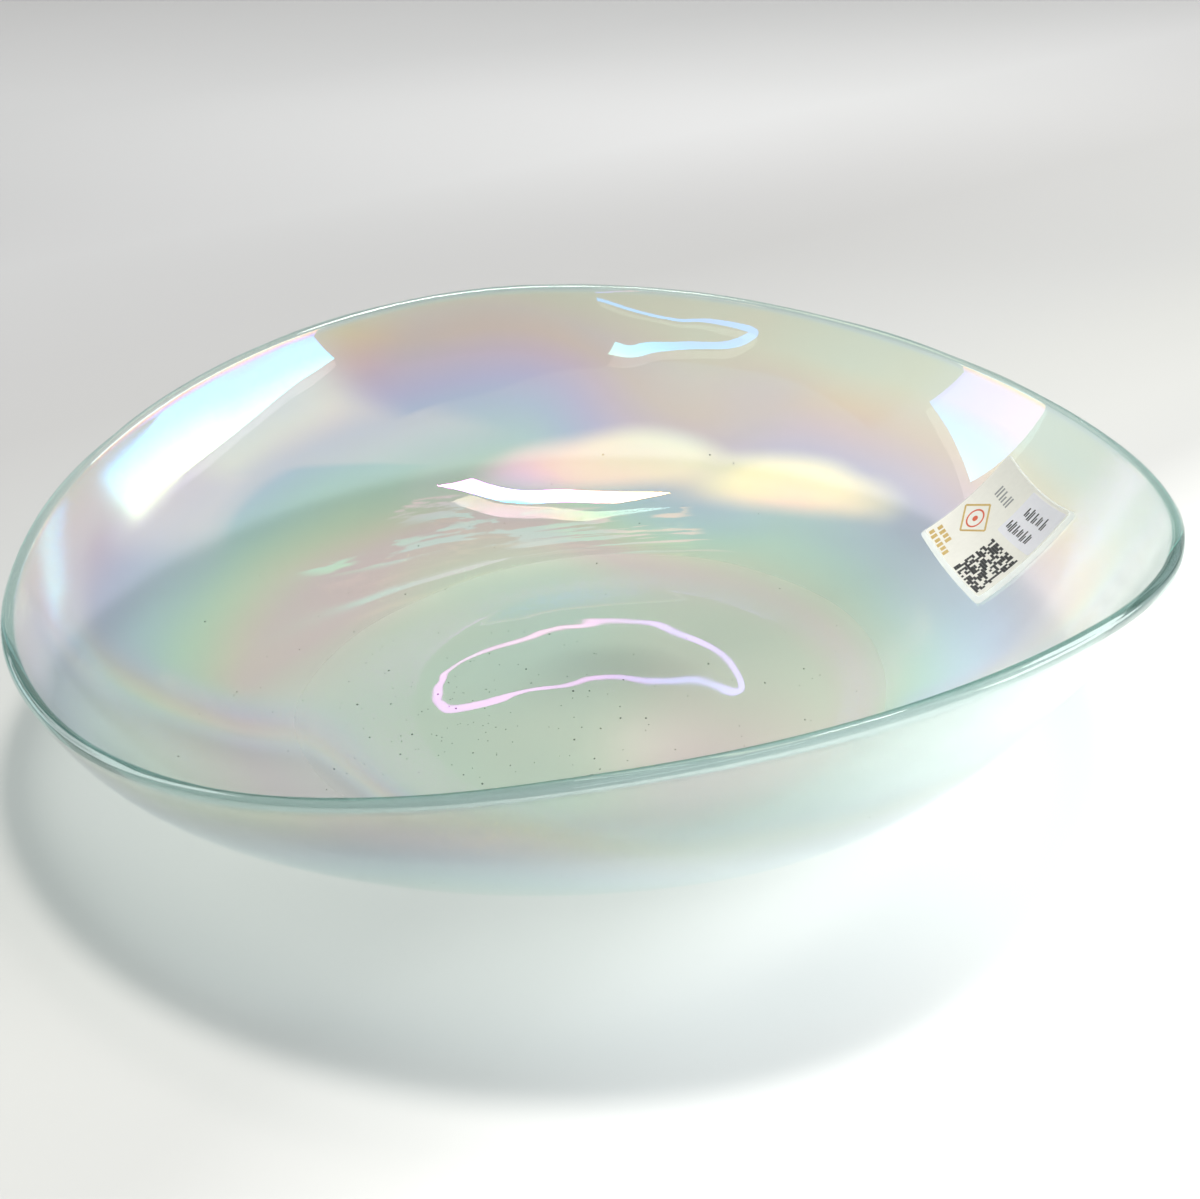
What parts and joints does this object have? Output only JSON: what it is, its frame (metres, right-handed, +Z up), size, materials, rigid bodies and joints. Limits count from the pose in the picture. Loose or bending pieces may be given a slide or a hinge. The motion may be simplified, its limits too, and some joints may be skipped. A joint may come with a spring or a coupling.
{
  "type": "art glass bowl",
  "caption": "Free-form blown glass bowl with an undulating rim, a clear iridescent finish, a flat ring to rest on and a small curved adhesive label inside.",
  "frame": {"origin": "under the middle of the bowl's outline, on the plane of the flat ring that it rests on", "axes": "+Z up; +Y away from the viewer; +X to the viewer's right, towards the wall that carries the label"},
  "size_m": [0.229, 0.2258, 0.0652],
  "materials": {
    "glass": "fire-polished, iridescent",
    "label_film": "satin translucent film",
    "label_print": "satin print",
    "label_white": "satin print"
  },
  "bodies": {
    "root": {"glass_bowl": "glass", "label_film": "label_film", "label_panel": "label_print", "label_serial_strip": "label_white"}
  },
  "joints": []
}
